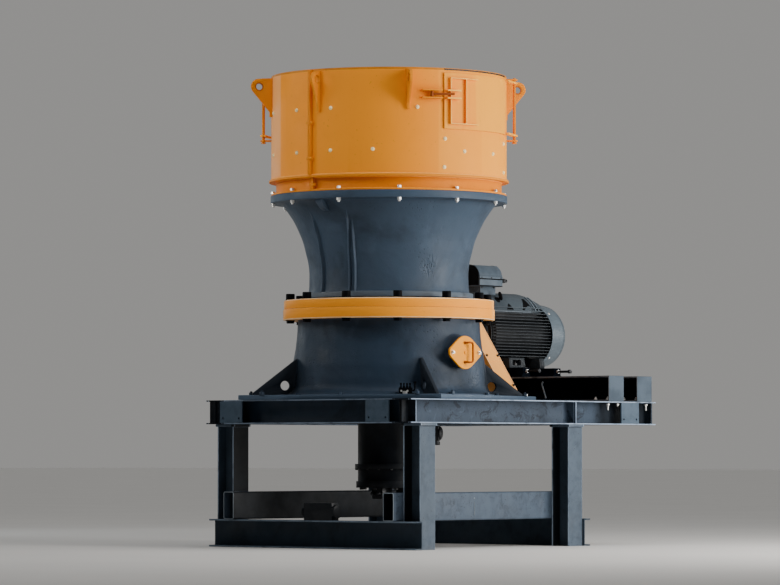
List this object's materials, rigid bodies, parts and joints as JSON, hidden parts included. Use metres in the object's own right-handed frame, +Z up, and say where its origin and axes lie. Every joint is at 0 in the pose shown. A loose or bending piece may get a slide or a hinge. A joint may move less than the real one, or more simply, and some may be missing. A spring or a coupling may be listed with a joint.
{
  "type": "cone crusher",
  "caption": "Cone crusher with a round feed hopper, belt drive and electric motor on a steel support frame; two hinged doors open in the hopper.",
  "frame": {"origin": "centre of the four anchor holes, at floor level", "axes": "+Z up, +X along the motor axis from the crusher toward the motor, +Y across to the left seen from the hopper end"},
  "size_m": [3.4417, 2.1634, 3.763],
  "materials": {
    "frame_steel": "dark slate paint on rolled steel, semi-gloss, dusty in places",
    "casting": "slate paint over a rough steel casting, pitted and smudged",
    "orange": "orange paint, semi-gloss, a little faded at the edges",
    "orange_door": "orange paint, semi-gloss",
    "guard_orange": "pale orange paint on sheet steel",
    "dark_steel": "dark oily steel and iron",
    "manganese": "worn manganese steel with casting skin",
    "bright_steel": "turned steel",
    "motor_paint": "slate motor paint on cast iron, satin",
    "cowl_paint": "slate paint on pressed steel, satin",
    "liner_steel": "wear plate polished and stained by stone",
    "belt_rubber": "black belt rubber"
  },
  "bodies": {
    "main": {"base_channels": "frame_steel", "legs": "frame_steel", "cross_tubes": "frame_steel", "main_beams": "frame_steel", "cross_beams": "frame_steel", "bolting_plates": "frame_steel", "motor_beams": "frame_steel", "lube_box": "dark_steel", "base_plate": "casting", "bottom_shell": "casting", "inner_hub": "casting", "gusset_ribs": "casting", "hatch_neck": "casting", "hatch_cover": "orange", "lower_clamp_ring": "orange", "upper_clamp_ring": "orange", "top_shell": "casting", "spider": "casting", "spider_cap": "casting", "concave": "manganese", "mantle": "manganese", "main_shaft": "bright_steel", "step_cylinder": "dark_steel", "cylinder_fittings": "dark_steel", "pinion_housing": "casting", "pinion_shaft": "bright_steel", "crusher_sheave": "dark_steel", "motor_sheave": "dark_steel", "drive_belts": "belt_rubber", "belt_guard_upper": "guard_orange", "belt_guard_lower": "guard_orange", "slide_rails": "frame_steel", "adjusting_screws": "dark_steel", "motor_housing": "motor_paint", "motor_feet": "motor_paint", "drive_end_shield": "motor_paint", "motor_shaft": "bright_steel", "fan_cowl": "cowl_paint", "terminal_box": "cowl_paint", "hopper_skirt": "orange", "hopper_ring": "orange", "hopper_wall": "orange", "hopper_liner": "liner_steel", "joint_flanges": "orange", "lifting_lugs": "orange", "hinge_brackets": "orange", "hinge_pins": "orange", "latch_brackets": "orange", "latch_bolts": "dark_steel"},
    "right_door": {"right_door": "orange_door"},
    "left_door": {"left_door": "orange_door"}
  },
  "joints": [
    {"name": "right_door_hinge", "type": "hinge", "parent": "main", "child": "right_door", "pos_m": [0.50829, -0.76934, 3.5], "axis": [0, 0, 1], "range_deg": [0, 105]},
    {"name": "left_door_hinge", "type": "hinge", "parent": "main", "child": "left_door", "pos_m": [-0.79429, 0.76934, 3.5], "axis": [0, 0, 1], "range_deg": [0, 105]}
  ]
}
